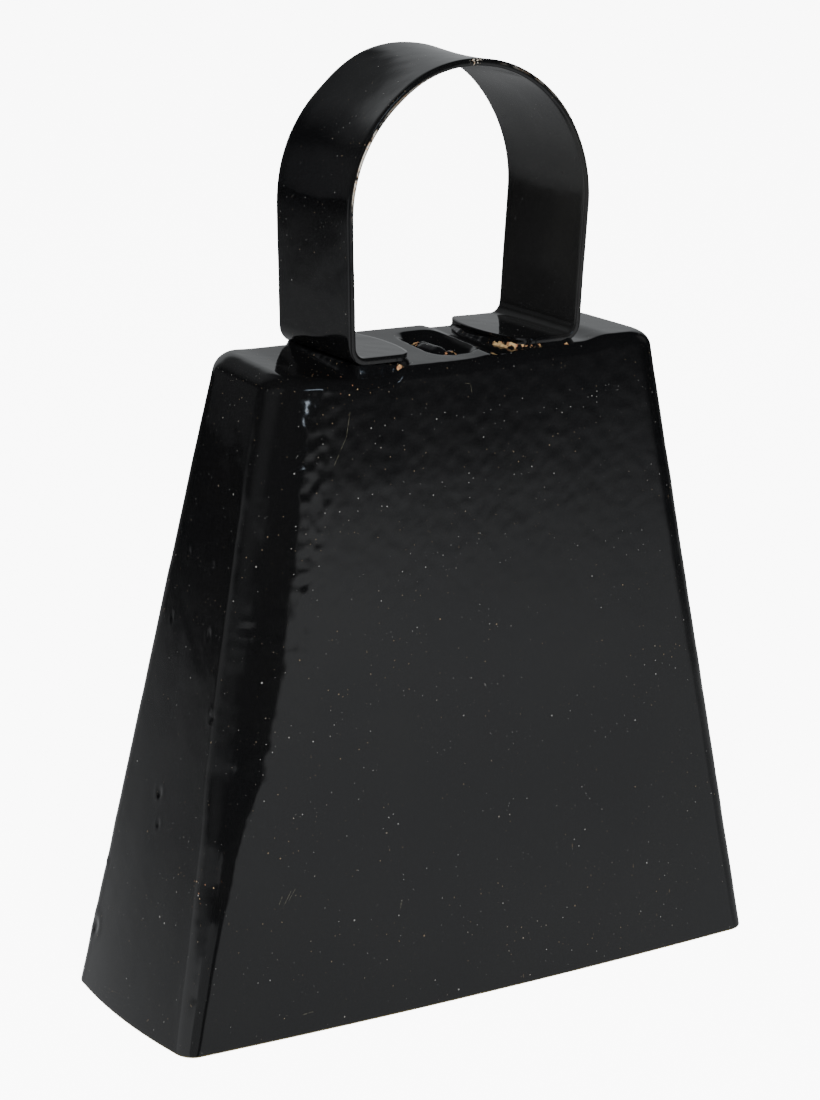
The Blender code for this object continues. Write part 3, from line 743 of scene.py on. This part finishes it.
def make_hanger(material):
    half = HANGER_HALF_SPACING
    crown = 2 * (half - HANGER_CROWN_RADIUS)
    side = HANGER_CROWN_Z - HANGER_CROWN_RADIUS - (HANGER_BAR_Z + half)
    moves = [("line", crown), ("arc", HANGER_CROWN_RADIUS, -90.0), ("line", side),
             ("arc", half, -180.0), ("line", side), ("arc", HANGER_CROWN_RADIUS, -90.0)]
    path = trace((HANGER_CENTRE[1] - crown / 2, HANGER_CROWN_Z), 0.0, moves, 0.3)
    wire_piece("hanger_loop", path, HANGER_WIRE, "X", True, material, "bell", "clapper_hanger", 31)


def link_heights():
    upper = HANGER_BAR_Z + HANGER_WIRE / 2 + LINK_WIRE / 2 + RUNNING_GAP
    return upper, upper - 2 * LINK_END_RADIUS - LINK_STRAIGHT


def make_link(material):
    upper, _ = link_heights()
    moves = [("arc", LINK_END_RADIUS, -90.0), ("line", LINK_STRAIGHT), ("arc", LINK_END_RADIUS, -180.0),
             ("line", LINK_STRAIGHT), ("arc", LINK_END_RADIUS, -90.0)]
    path = trace((HANGER_CENTRE[0], upper), 0.0, moves, 0.3)
    wire_piece("link_ring", path, LINK_WIRE, "Y", True, material, "link", "clapper_link", 33)


def make_rod(material):
    _, link_lower = link_heights()
    eye_z = link_lower + LINK_WIRE / 2 + ROD_WIRE / 2 + RUNNING_GAP - EYE_RADIUS
    neck = math.degrees(math.acos(EYE_NECK_RADIUS / (EYE_NECK_RADIUS + EYE_RADIUS)))
    neck_drop = (EYE_NECK_RADIUS + EYE_RADIUS) * math.sin(math.radians(neck))
    bottom = COLLAR_TOP_Z - SOCKET_DEPTH + ROD_END_GAP
    moves = [("line", eye_z - neck_drop - bottom), ("arc", EYE_NECK_RADIUS, -neck),
             ("arc", EYE_RADIUS, 220.0 + neck)]
    path = trace((HANGER_CENTRE[1], bottom), 90.0, moves, 0.35)
    wire_piece("clapper_stem", path, ROD_WIRE, "X", False, material,
               "clapper", "clapper_rod", 35)


def make_bob(material):
    """Ball on the rod's lower end, with a collar squeezed on to the rod and a turned parting line."""
    collar, top, socket = 3.4, COLLAR_TOP_Z, ROD_WIRE / 2 + 0.12
    radius = BOB_RADIUS - 0.02
    start = math.acos((collar - 0.4) / BOB_RADIUS)
    floor = top - SOCKET_DEPTH
    profile = [(0.02, floor), (socket, floor), (socket, top - 0.4), (socket + 0.35, top)]
    profile += [(collar - 0.7 + 0.7 * math.sin(a), top - 0.7 + 0.7 * math.cos(a)) for a in np.linspace(0, 1.5, 7)]
    neck_z = BOB_CENTRE_Z + BOB_RADIUS * math.sin(start)
    profile += [(collar - 0.15 * ease(f), top - 0.8 - (top - 1.5 - neck_z) * f) for f in np.linspace(0.1, 1.0, 8)]
    for angle in np.linspace(start, -math.pi / 2 + 0.01, 56):
        groove = 0.16 * math.exp(-(math.degrees(angle) / 1.6) ** 2)
        profile.append(((radius - groove) * math.cos(angle), BOB_CENTRE_Z + radius * math.sin(angle)))
    turns = 2 * math.pi * np.arange(96) / 96
    rings = np.array([np.stack([HANGER_CENTRE[0] + r * np.cos(turns), HANGER_CENTRE[1] + r * np.sin(turns),
                                np.full_like(turns, z)], axis=1) for r, z in profile])
    mesh = grid_mesh("clapper_ball", rings)

    def shift_at(points):
        """None in the socket, so that the rod fits."""
        solid = ease(np.hypot(points[:, 0] - HANGER_CENTRE[0], points[:, 1] - HANGER_CENTRE[1]) - socket)
        return solid * (0.03 * wave_noise(points, 6.0, 41) + 0.012 * wave_noise(points, 1.8, 42) - 0.045)

    roughen(mesh, shift_at)
    add_piece("clapper_ball", mesh, material, "clapper", "clapper_bob")


# ---------------------------------------------------------------- brazing filler

def top_height(x, y):
    """Height of the body's outer surface on top, without the pocket."""
    radius = FOLD_RADII[1]
    edge = np.clip(np.abs(y) - (TOP_HALF[1] - radius), 0.0, radius)
    return BODY_HEIGHT + top_shape(x, y) - radius + np.sqrt(radius ** 2 - edge ** 2)


def make_foot_filler(name, side, node, material, seed):
    """Lumpy fillet of filler all round one foot, thickest in the bend and at the foot's end."""
    half = STRAP_WIDTH / 2
    bend_x = HANDLE_OFFSET[0] + side * FOOT_BEND_X
    end_v = np.linspace(-1, 1, 60)
    end = np.stack([HANDLE_OFFSET[0] + side * (FOOT_END_X + foot_end_shift(end_v)),
                    HANDLE_OFFSET[1] + end_v * half], axis=1)
    steps = np.linspace(0, 1, 44)[:-1][:, None]
    front = np.array([[bend_x, end[0, 1]]]) * (1 - steps) + end[:1] * steps
    back = end[-1:] * (1 - steps) + np.array([[bend_x, end[-1, 1]]]) * steps
    across = np.array([[bend_x, end[-1, 1]]]) * (1 - steps) + np.array([[bend_x, end[0, 1]]]) * steps
    outline = np.concatenate([front, end[:-1], back, across])
    ahead = np.roll(outline, -2, axis=0) - np.roll(outline, 2, axis=0)
    ahead /= np.linalg.norm(ahead, axis=1)[:, None]
    outwards = np.stack([ahead[:, 1], -ahead[:, 0]], axis=1) * side
    outwards *= np.sign((outwards * (outline - outline.mean(axis=0))).sum(axis=1).mean())
    for _ in range(6):
        outwards = (np.roll(outwards, 1, axis=0) + outwards + np.roll(outwards, -1, axis=0))
        outwards /= np.linalg.norm(outwards, axis=1)[:, None]
    at = np.column_stack([outline, np.zeros(len(outline))])
    lumps, fine = wave_noise(at, 6.0, seed), wave_noise(at, 1.8, seed + 1)
    near_bend = ease(1.0 - np.abs(outline[:, 0] - bend_x) / 3.5)
    behind_front = ease((outline[:, 1] - HANDLE_OFFSET[1] + 8.6) / 2.5)
    width = np.maximum(0.45 + 0.16 * lumps + 0.10 * fine + 0.75 * near_bend * behind_front, 0.2)
    under = foot_underside(side) - top_height(outline[:, 0], outline[:, 1])
    height = np.maximum(under, -0.4) + np.maximum(0.34 + 0.14 * lumps + 0.10 * fine + 0.3 * near_bend, 0.12)
    height = np.maximum(height, 0.10)
    rings = []
    for step in range(12):
        f = step / 7.0
        if step <= 7:
            out = -0.25 + (width + 0.25) * f
            rise = height * (1.0 - ease(f)) * (1 - 0.25 * (1 - f) ** 4)
        else:
            out = width - (width + 0.25) * (step - 7) / 5.0
            rise = np.full_like(width, -0.25)
        x = outline[:, 0] + outwards[:, 0] * out
        y = outline[:, 1] + outwards[:, 1] * out
        z = top_height(x, y) + rise
        if step < 7:
            z += 0.05 * wave_noise(np.stack([x, y, rise], axis=1), 0.9, seed + 2)
        rings.append(np.stack([x, y, z], axis=1))
    rings = np.array(rings).transpose(1, 0, 2)
    add_piece(name, grid_mesh(name, rings, closed=True), material, "bell", node)


def make_lump(name, centre, half, node, material, seed):
    """Mound of filler: a lumpy dome, its foot sunk into what it stands on."""
    turns = 2 * math.pi * np.arange(48) / 48
    rings = []
    for f in np.linspace(-0.35, 1.0, 24):
        lift = math.sin(max(f, 0.0) * math.pi / 2)
        size = math.cos(max(f, 0.0) * math.pi / 2 * 0.97) * (1.0 + min(f, 0.0) * 0.4)
        x = centre[0] + half[0] * size * np.cos(turns)
        y = centre[1] + half[1] * size * np.sin(turns)
        rings.append(np.stack([x, y, np.full_like(x, centre[2] + half[2] * (lift + min(f, 0.0)))], axis=1))
    mesh = grid_mesh(name, np.array(rings))
    roughen(mesh, lambda at: 0.22 * wave_noise(at, 1.9, seed) + 0.06 * wave_noise(at, 0.8, seed + 1))
    add_piece(name, mesh, material, "bell", node)


SEAM_HEIGHTS = (5.0, 84.0)


def make_seam_filler(name, side, node, material, seed):
    """Flat, rippled bead of filler down the inside of one narrow wall."""
    rings = []
    low, high = SEAM_HEIGHTS
    for z in np.linspace(low, high, 240):
        f = z / BODY_HEIGHT
        crown = FACE_BULGE[0] * (1 - f) ** 2 * 0.86
        wall = MOUTH_HALF[0] + (TOP_HALF[0] - MOUTH_HALF[0]) * f - SHEET + crown
        middle = 0.28 * (MOUTH_HALF[1] + (TOP_HALF[1] - MOUTH_HALF[1]) * f)
        taper = float(ease((z - low + 0.1) / 3.0) * ease((high + 0.1 - z) / 3.0)) * 0.8 + 0.2
        at = np.array([[side * 40.0, 0.0, z]])
        ripple = 1.0 + 0.22 * float(wave_noise(at, 4.0, seed)[0]) + 0.12 * math.sin(z * 2 * math.pi / 1.7)
        half, thick = 1.25 * taper * (0.8 + 0.2 * ripple), 0.62 * taper * ripple
        ring = [(side * (wall - thick * math.cos(a) ** 0.8), middle + half * math.sin(a), z)
                for a in np.linspace(-1.5, 1.5, 13)]
        ring += [(side * (wall + 0.15), middle + half * 0.9, z), (side * (wall + 0.15), middle - half * 0.9, z)]
        rings.append(ring)
    add_piece(name, grid_mesh(name, np.array(rings)), material, "bell", node)


# ---------------------------------------------------------------- materials

PAINT = (0.0030, 0.0031, 0.0034)
HAZY_PAINT = (0.0050, 0.0050, 0.0048)
DUST_WHITE = (0.40, 0.40, 0.38)
DUST_TAN = (0.26, 0.19, 0.11)
COPPER_CHIP = (0.42, 0.20, 0.10)
GOLD_CHIP = (0.60, 0.42, 0.20)
BRASS_CHIP = (0.50, 0.36, 0.20)
SCRATCH_COLOUR = (0.09, 0.085, 0.06)
RIM_COLOUR = (0.20, 0.16, 0.06)
# Strokes on the front: from (x, z) to (x, z), width.
SCRATCHES = (((-21.9, 91.0), (-22.6, 87.6), 0.06), ((-22.6, 87.6), (-24.8, 83.6), 0.055),
             ((-2.1, 93.4), (-1.2, 93.2), 0.05), ((-1.2, 93.2), (-1.0, 92.0), 0.05),
             ((-34.9, 20.2), (-33.6, 22.2), 0.06),
             ((-34.0, 20.9), (-32.9, 22.4), 0.05), ((-35.6, 20.6), (-35.1, 21.6), 0.08),
             ((-15.2, 16.2), (-14.9, 17.4), 0.14), ((-32.3, 3.2), (-30.6, 3.3), 0.08))


def new_graph(name, roughness, metallic):
    material = bpy.data.materials.new(name)
    material.use_nodes = True
    shader = material.node_tree.nodes["Principled BSDF"]
    shader.inputs["Roughness"].default_value = roughness
    shader.inputs["Metallic"].default_value = metallic
    return material, shader, Graph(material.node_tree)


def bump(g, shader, height, distance):
    node = g.node("ShaderNodeBump")
    node.inputs["Distance"].default_value = distance * MM
    node.inputs["Strength"].default_value = 1.0
    g.set(node.inputs["Height"], height)
    g.set(shader.inputs["Normal"], node.outputs[0])


def black_paint(name, on_strap=False):
    """Glossy black paint: fine orange peel, settled dust, and chips down to copper or bare steel. The body has
    scratches and a bare rim too, the strap a worn front edge with a painted highlight along it, and a right leg
    painted lighter as if lit."""
    material, shader, g = new_graph(name, 0.12, 0.0)
    x, y, z = g.axis("X"), g.axis("Y"), g.axis("Z")
    fine, fine_tone = g.specks(0.8, 0.04, 0.125)
    middle, middle_tone = g.specks(2.0, 0.07, 0.17, (3.1, 1.7, 5.3))
    large, large_tone = g.specks(9.0, 0.08, 0.24, (1.3, 7.7, 2.9))
    hairs, _ = g.specks(2.4, 0.05, 0.12, (5.0, 2.0, 8.0), (1.0, 1.0, 0.22))
    tan = g.mix(g.ramp(fine_tone, 0.35, 0.75), DUST_TAN, DUST_WHITE)
    warm = g.mix(g.ramp(middle_tone, 0.5, 0.9), DUST_WHITE, DUST_TAN)
    hazy = g.ramp(g.noise(22.0, 3.0), 0.35, 0.7)
    dusty = g.ramp(g.noise(14.0, 3.0, shift=(7, 3, 1)), 0.38, 0.66, 0.12, 1.0)
    colour = g.mix(g.times(hazy, 0.35), PAINT, HAZY_PAINT)
    colour = g.mix(g.times(fine, g.times(dusty, 0.6)), colour, tan)
    colour = g.mix(g.times(hairs, 0.18), colour, DUST_TAN)
    colour = g.mix(g.times(middle, 0.5), colour, warm)
    colour = g.mix(g.times(large, 0.9), colour, DUST_WHITE)
    marks = g.most([fine, middle, large])
    grain = g.noise(0.5, 2.0, shift=(2, 9, 4))
    if on_strap:
        # Painted light: the strap's right leg is painted lighter, as if lit, and its tone is varied by the haze
        # noise.
        right_leg_painted_light = g.mix(hazy, (0.0075, 0.0075, 0.0075), (0.0115, 0.0115, 0.011))
        colour = g.mix(g.ramp(x, 12.0, 17.0), colour, right_leg_painted_light)
        # The strap's front edge: real wear and chips, plus a painted highlight. It is near-white along the arch's
        # inner edge on the left, strongest at its upper left, and faint along the outer edge on the right.
        front = g.ramp(y, HANDLE_OFFSET[1] - 9.6, HANDLE_OFFSET[1] - 9.9)
        flat = g.vector("MULTIPLY", g.place, (1.0, 0.0, 1.0))
        arch = g.vector("DISTANCE", flat, (HANDLE_OFFSET[0], 0.0, ARCH_CENTRE_Z))
        inner, outer = (g.math("ABSOLUTE", g.math("SUBTRACT", arch, ARCH_OUTER_RADIUS - depth))
                        for depth in (0.72, 0.12))
        inner, outer = g.ramp(inner, 0.06, 0.22, 1.0, 0.0), g.ramp(outer, 0.06, 0.20, 1.0, 0.0)
        above = g.ramp(z, 117.0, 121.0)
        rubbed_wear_and_highlight = g.times(inner, g.times(g.ramp(x, -4.0, -9.0), above))
        worst_wear_and_highlight = g.ramp(g.vector("DISTANCE", flat, (-19.3, 0.0, 126.0)), 2.5, 7.5, 1.0, 0.22)
        rubbed_wear_and_highlight = g.times(g.times(rubbed_wear_and_highlight, worst_wear_and_highlight), g.ramp(g.noise(1.6, 3.0), 0.38, 0.52))
        thin = g.times(g.ramp(x, 2.0, 6.0), g.ramp(g.noise(2.2, 3.0), 0.4, 0.6))
        thin = g.times(g.times(outer, above), thin)
        crown = g.ramp(g.distance((-0.9, -9.4, 139.9)), 0.4, 1.3, 0.8, 0.0)
        crown = g.times(crown, g.ramp(g.noise(0.35, 2.0, shift=(1, 2, 3)), 0.54, 0.60))
        # Chips and painted highlight share one warm near-white colour.
        chips_and_highlight = g.times(front, g.most([rubbed_wear_and_highlight, g.times(thin, 0.12), crown]))
        colour = g.mix(chips_and_highlight, colour, g.mix(g.ramp(grain, 0.36, 0.5), (0.42, 0.28, 0.17), (0.50, 0.47, 0.41)))
    else:
        front = g.ramp(y, -8.0, -9.0)
        lines = g.most([g.stroke(*s) for s in SCRATCHES])
        lines = g.times(g.times(lines, front), g.ramp(grain, 0.35, 0.55, 0.1, 0.6))
        colour = g.mix(lines, colour, SCRATCH_COLOUR)
        rim = g.times(g.ramp(z, 0.32, 0.12), g.ramp(g.noise(4.0, 3.0), 0.3, 0.5, 0.35, 1.0))
        colour = g.mix(rim, colour, RIM_COLOUR)
        corner = g.ramp(g.distance((-47.2, -15.0, 24.0)), 1.5, 4.2, 1.0, 0.0)
        feet = g.ramp(g.distance((-22.0, -7.4, 96.0)), 2.0, 7.0, 1.0, 0.0)
        chips, chip_tone = g.specks(0.7, 0.03, 0.15, (4.4, 6.6, 8.8))
        chips = g.times(chips, g.times(g.math("MAXIMUM", corner, feet), 0.8))
        colour = g.mix(chips, colour, g.mix(g.ramp(chip_tone, 0.4, 0.6), COPPER_CHIP, BRASS_CHIP))
        marks = g.most([marks, chips])
    g.set(shader.inputs["Base Color"], colour)
    rough = g.math("MULTIPLY_ADD", g.noise(6.0, 3.0, shift=(1, 1, 9)), 0.045, 0.05)
    g.set(shader.inputs["Roughness"], g.math("MULTIPLY_ADD", marks, 0.5, rough))
    peel = g.math("ADD", g.noise(2.4, 1.0), g.times(g.noise(0.7, 2.0, shift=(5, 5, 5)), 0.14))
    bump(g, shader, g.math("ADD", peel, g.times(g.most([middle, large]), 1.5)), 0.016)
    return material


def filler(name, painted, worn=()):
    """Copper filler. Where painted is high, most of it is under black paint, but it is bare at the worn places."""
    material, shader, g = new_graph(name, 0.35, 0.0)
    cover = g.math("SUBTRACT", g.noise(1.5, 3.0, roughness=0.6), painted)
    for place, radius in worn:
        near = g.ramp(g.distance(place), radius * 0.3, radius, 0.24, 0.0)
        cover = g.math("ADD", cover, near)
    bare = g.ramp(cover, -0.03, 0.03)
    tone = g.ramp(g.noise(0.8, 2.0, shift=(3, 3, 3)), 0.4, 0.62)
    metal = g.mix(tone, COPPER_CHIP, GOLD_CHIP)
    metal = g.mix(g.ramp(g.noise(0.35, 2.0, shift=(8, 1, 1)), 0.55, 0.75), metal, (0.07, 0.03, 0.015))
    glints, _ = g.specks(0.8, 0.05, 0.16)
    colour = g.mix(bare, g.mix(g.times(glints, 0.7), PAINT, DUST_TAN), metal)
    g.set(shader.inputs["Base Color"], colour)
    g.set(shader.inputs["Metallic"], g.times(bare, 0.35))
    g.set(shader.inputs["Roughness"], g.ramp(bare, 0.0, 1.0, 0.14, 0.36))
    bump(g, shader, g.math("ADD", g.noise(1.1, 3.0), bare), 0.05)
    return material


def worn_steel(name, colour, dark, painted=False):
    """Drawn or turned steel with a thin brown film, handling scratches and darker spots."""
    material, shader, g = new_graph(name, 0.36, 1.0)
    film = g.ramp(g.noise(4.0, 4.0, roughness=0.6), 0.38, 0.66)
    spots, _ = g.specks(1.3, 0.05, 0.28, (2, 4, 6))
    streaks = g.noise(0.5, 3.0, squash=(1.0, 1.0, 0.08))
    tone = g.mix(film, colour, dark)
    tone = g.mix(g.ramp(streaks, 0.45, 0.7, 0.0, 0.35), tone, tuple(min(1.0, c * 1.5) for c in colour))
    tone = g.mix(g.times(spots, 0.8), tone, (0.05, 0.03, 0.02))
    rough = g.math("MULTIPLY_ADD", film, 0.16, 0.28)
    if painted:
        cover = g.ramp(g.axis("Z"), 93.2, 94.2)
        tone = g.mix(cover, tone, PAINT)
        glints, _ = g.specks(1.0, 0.1, 0.26, (6, 1, 2))
        tone = g.mix(g.times(glints, g.times(cover, 0.9)), tone, DUST_WHITE)
        g.set(shader.inputs["Metallic"], g.math("SUBTRACT", 1.0, cover))
        rough = g.math("MULTIPLY_ADD", cover, -0.16, rough)
    g.set(shader.inputs["Base Color"], tone)
    g.set(shader.inputs["Roughness"], g.math("MULTIPLY_ADD", streaks, 0.06, rough))
    bump(g, shader, g.math("ADD", g.times(streaks, 0.5), g.math("SUBTRACT", film, spots)), 0.012)
    return material


make_camera()
make_floor()
make_light()
paint = black_paint("black_gloss")
strap_paint = black_paint("black_gloss_strap", on_strap=True)
painted_filler = filler("filler_under_paint", 0.74, (((-21.0, -9.9, 96.4), 0.7), ((-12.8, -9.7, 96.4), 0.8),
                                                     ((7.3, -2.8, 97.2), 1.0), ((7.8, -4.9, 97.2), 1.6),
                                                     ((8.4, -6.6, 97.2), 2.0), ((9.4, -8.2, 97.2), 2.0),
                                                     ((11.4, -9.6, 97.2), 1.7),
                                                     ((16.6, -9.8, 97.4), 0.7)))
bare_filler = filler("filler_bare", 0.53)
seam_filler = filler("filler_seam", 0.30)
wire_steel = worn_steel("hanger_steel", (0.40, 0.38, 0.35), (0.16, 0.13, 0.11), painted=True)
link_steel = worn_steel("link_steel", (0.46, 0.45, 0.43), (0.20, 0.17, 0.14))
bob_steel = worn_steel("bob_steel", (0.42, 0.40, 0.37), (0.17, 0.13, 0.10))
make_shell(paint)
make_handle(strap_paint)
make_hanger(wire_steel)
make_link(link_steel)
make_rod(link_steel)
make_bob(bob_steel)
make_foot_filler("foot_filler_left", -1, "foot_braze_left", painted_filler, 51)
make_foot_filler("foot_filler_right", 1, "foot_braze_right", painted_filler, 61)
make_lump("pocket_filler_front", (-0.6, -4.1, 94.7), (2.3, 1.8, 1.9), "hanger_braze_front", bare_filler, 71)
make_lump("pocket_filler_rear", (-0.5, 3.4, 94.7), (2.2, 1.9, 2.1), "hanger_braze_rear", bare_filler, 73)
make_seam_filler("seam_filler_left", -1, "seam_braze_left", seam_filler, 81)
make_seam_filler("seam_filler_right", 1, "seam_braze_right", seam_filler, 83)
